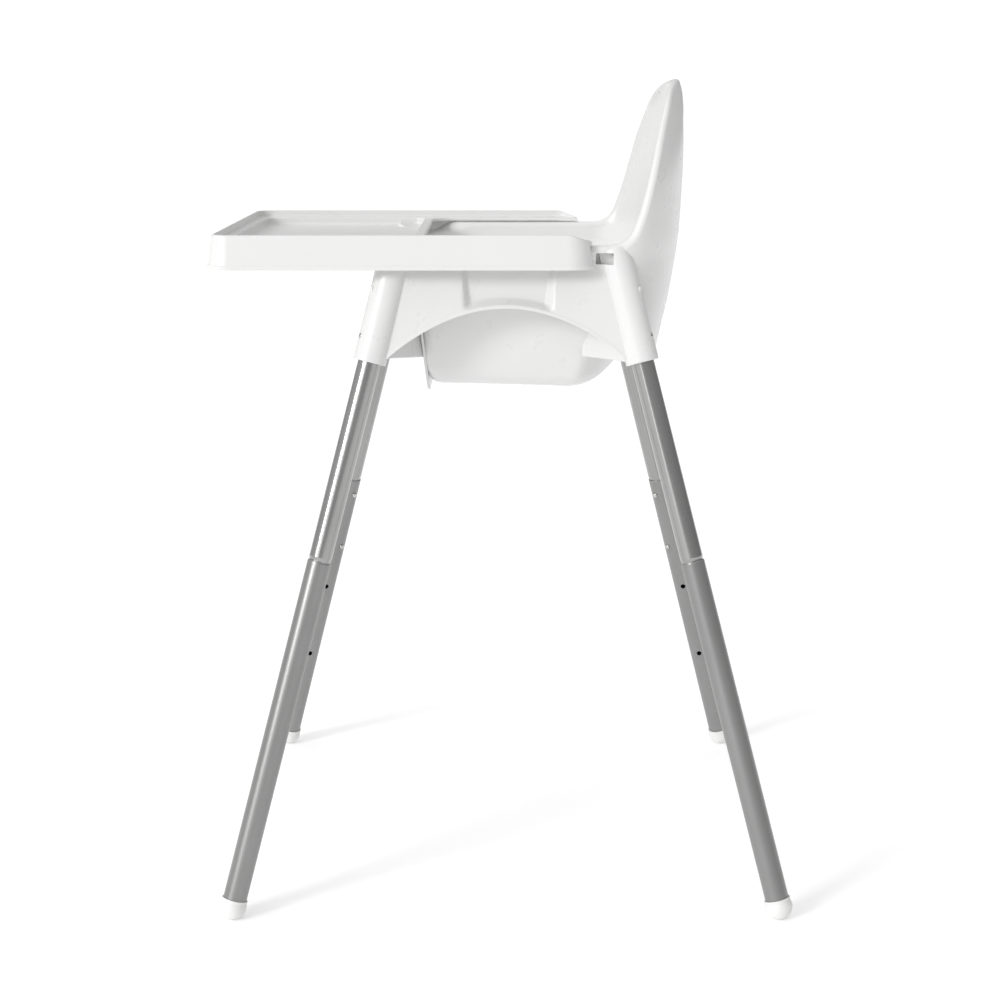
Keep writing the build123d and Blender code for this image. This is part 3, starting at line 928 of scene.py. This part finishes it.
dress(finished_shell(), "seat_plastic", "seat", "seat_shell")
dress(tray(), "tray_plastic", "tray", "tray")
for corner, (side, end) in CORNERS.items():
    upper = f"upper_leg_{corner}"
    lower = f"lower_leg_{corner}"
    dress(upper_leg(f"{upper}_visual", side, end), "upper_tube", upper, upper)
    dress(lower_leg(f"{lower}_visual", side, end), "lower_tube", lower, lower)
    cap = f"foot_cap_{corner}"
    dress(foot_cap(f"{cap}_visual", side, end), "foot_plastic", lower, cap)
    high, low = (TUBE_JOINT - drop for drop in JOINT_BUTTONS)
    for level, distance in (("high", high), ("low", low)):
        node = f"joint_button_{level}_{corner}"
        button = snap_button(f"{node}_visual", side, end, "joint", distance, 15.3)
        dress(button, "steel_button", node, node)
    node = f"socket_button_{corner}"
    button = snap_button(f"{node}_visual", side, end, "socket", SOCKET_START + SOCKET_BUTTON, 18.55)
    dress(button, "steel_button", node, node)
    node = f"joint_spring_{corner}"
    spring = leaf_spring(f"{node}_visual", side, end, "joint", low - 8, high + 8)
    dress(spring, "spring_steel", upper, node)
    node = f"socket_spring_{corner}"
    middle = SOCKET_START + SOCKET_BUTTON
    spring = leaf_spring(f"{node}_visual", side, end, "socket", middle - 14, middle + 8)
    dress(spring, "spring_steel", upper, node)

# ---------------------------------------------------------------- stage, light, camera

floor_mesh = bpy.data.meshes.new("floor")
floor_mesh.from_pydata([(-60, -60, 0), (60, -60, 0), (60, 60, 0), (-60, 60, 0)], [], [(0, 1, 2, 3)])
floor = bpy.data.objects.new("floor", floor_mesh)
bpy.context.scene.collection.objects.link(floor)
pale = bpy.data.materials.new("pale_floor")
pale.use_nodes = True
matt = pale.node_tree.nodes["Principled BSDF"]
matt.inputs["Base Color"].default_value = (0.93, 0.93, 0.93, 1)
matt.inputs["Emission Color"].default_value = (1, 1, 1, 1)
matt.inputs["Emission Strength"].default_value = 0.2
matt.inputs["Roughness"].default_value = 0.9
matt.inputs["Specular IOR Level"].default_value = 0.1
floor_mesh.materials.append(pale)


def area_light(name, place, target, size, power):
    """Rectangular light aimed at a point."""
    data = bpy.data.lights.new(name, "AREA")
    data.shape = "RECTANGLE"
    data.size = size[0]
    data.size_y = size[1]
    data.energy = power
    light = bpy.data.objects.new(name, data)
    light.location = place
    aim = Vector(target) - Vector(place)
    light.rotation_euler = aim.to_track_quat("-Z", "Y").to_euler()
    bpy.context.scene.collection.objects.link(light)
    return light


sun = bpy.data.lights.new("key", "SUN")
sun.energy = 1.5
sun.angle = math.radians(15)
key = bpy.data.objects.new("key", sun)
key.rotation_euler = Vector((-1.0, 1.0, -0.5)).to_track_quat("-Z", "Y").to_euler()
bpy.context.scene.collection.objects.link(key)
area_light("side_strip", (2.6, -1.3, 1.3), (0, 0, 0.5), (0.4, 2.2), 6)

world = bpy.data.worlds.new("studio")
world.use_nodes = True
world_nodes = world.node_tree.nodes
world_links = world.node_tree.links
# The camera sees a white backdrop; the light itself grows upwards and falls off to the rear.
backdrop = world_nodes["Background"]
backdrop.inputs["Color"].default_value = (1, 1, 1, 1)
backdrop.inputs["Strength"].default_value = 1.05
ambient = world_nodes.new("ShaderNodeBackground")
ambient.inputs["Color"].default_value = (1, 1, 1, 1)
compass = world_nodes.new("ShaderNodeTexCoord")
split = world_nodes.new("ShaderNodeSeparateXYZ")
height = world_nodes.new("ShaderNodeMapRange")
height.inputs["To Min"].default_value = 0.42
height.inputs["To Max"].default_value = 1.38
world_links.new(compass.outputs["Generated"], split.inputs["Vector"])
world_links.new(split.outputs["Z"], height.inputs["Value"])
fall = world_nodes.new("ShaderNodeMapRange")
fall.inputs["From Min"].default_value = -1.0
fall.inputs["To Min"].default_value = 1.0
fall.inputs["To Max"].default_value = 0.5
product = world_nodes.new("ShaderNodeMath")
product.operation = "MULTIPLY"
world_links.new(split.outputs["Y"], fall.inputs["Value"])
world_links.new(height.outputs["Result"], product.inputs[0])
world_links.new(fall.outputs["Result"], product.inputs[1])
world_links.new(product.outputs["Value"], ambient.inputs["Strength"])
rays = world_nodes.new("ShaderNodeLightPath")
chooser = world_nodes.new("ShaderNodeMixShader")
world_links.new(rays.outputs["Is Camera Ray"], chooser.inputs["Fac"])
world_links.new(ambient.outputs["Background"], chooser.inputs[1])
world_links.new(backdrop.outputs["Background"], chooser.inputs[2])
world_links.new(chooser.outputs["Shader"], world_nodes["World Output"].inputs["Surface"])
bpy.context.scene.world = world
bpy.context.scene.view_settings.view_transform = "Standard"

camera_data = bpy.data.cameras.new("camera")
camera_data.lens = 72
camera_data.sensor_width = 36
camera = bpy.data.objects.new("camera", camera_data)
camera.location = (2.3058, -0.0076, 0.8739)
camera.rotation_euler = (math.radians(90 - 11.67), 0, math.radians(90) - 0.0006)
bpy.context.scene.collection.objects.link(camera)
bpy.context.scene.camera = camera
